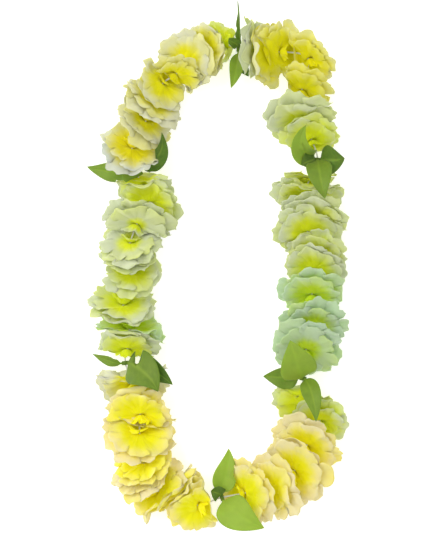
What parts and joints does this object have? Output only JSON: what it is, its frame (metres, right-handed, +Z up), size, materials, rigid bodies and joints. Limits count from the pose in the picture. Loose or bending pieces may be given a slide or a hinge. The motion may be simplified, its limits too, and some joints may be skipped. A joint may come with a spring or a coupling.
{
  "type": "artificial flower lei",
  "caption": "Garland of thin ruffled fabric blossoms and leaf sprays threaded on a cord that is tied into a loop, laid flat as a long oval to wear round the neck.",
  "frame": {"origin": "on the surface that the lei lies on, under the middle of its bounding box", "axes": "+Z up from that surface, +Y along the long axis towards the leaf spray that hides the knot, +X to the right seen from above"},
  "size_m": [0.2343, 0.4819, 0.0491],
  "materials": {
    "petal_cream": "matt, dyed yellow centre",
    "petal_white": "matt, dyed yellow centre",
    "petal_green": "matt, dyed yellow centre",
    "petal_mint": "matt, dyed yellow centre",
    "petal_yellow": "matt, dyed yellow centre",
    "leaf_fabric": "matt, stamped veins",
    "cord": "twisted thread",
    "spacer_tube": "satin"
  },
  "bodies": {
    "root": {"flower_01": "petal_green", "flower_02": "petal_cream", "flower_03": "petal_cream", "flower_04": "petal_cream", "flower_05": "petal_cream", "flower_06": "petal_cream", "flower_07": "petal_cream", "flower_08": "petal_white", "flower_09": "petal_green", "flower_10": "petal_green", "flower_11": "petal_green", "flower_12": "petal_green", "flower_13": "petal_green", "flower_14": "petal_green", "flower_15": "petal_green", "flower_16": "petal_mint", "flower_17": "petal_green", "flower_18": "petal_cream", "flower_19": "petal_yellow", "flower_20": "petal_yellow", "flower_21": "petal_yellow", "flower_22": "petal_yellow", "flower_23": "petal_yellow", "flower_24": "petal_yellow", "flower_25": "petal_yellow", "flower_26": "petal_yellow", "flower_27": "petal_yellow", "flower_28": "petal_yellow", "flower_29": "petal_yellow", "flower_30": "petal_green", "flower_31": "petal_yellow", "flower_32": "petal_mint", "flower_33": "petal_mint", "flower_34": "petal_mint", "flower_35": "petal_mint", "flower_36": "petal_green", "flower_37": "petal_green", "flower_38": "petal_green", "flower_39": "petal_green", "flower_40": "petal_green", "flower_41": "petal_green", "flower_42": "petal_green", "flower_43": "petal_cream", "flower_44": "petal_cream", "flower_45": "petal_cream", "flower_46": "petal_cream", "flower_47": "petal_green", "leaf_top": "leaf_fabric", "leaf_left_upper": "leaf_fabric", "leaf_left_lower": "leaf_fabric", "leaf_bottom": "leaf_fabric", "leaf_right_lower": "leaf_fabric", "leaf_right_upper": "leaf_fabric", "cord": "cord", "knot": "cord", "spacer_1": "spacer_tube", "spacer_2": "spacer_tube", "spacer_3": "spacer_tube", "spacer_4": "spacer_tube", "spacer_5": "spacer_tube"}
  },
  "joints": []
}
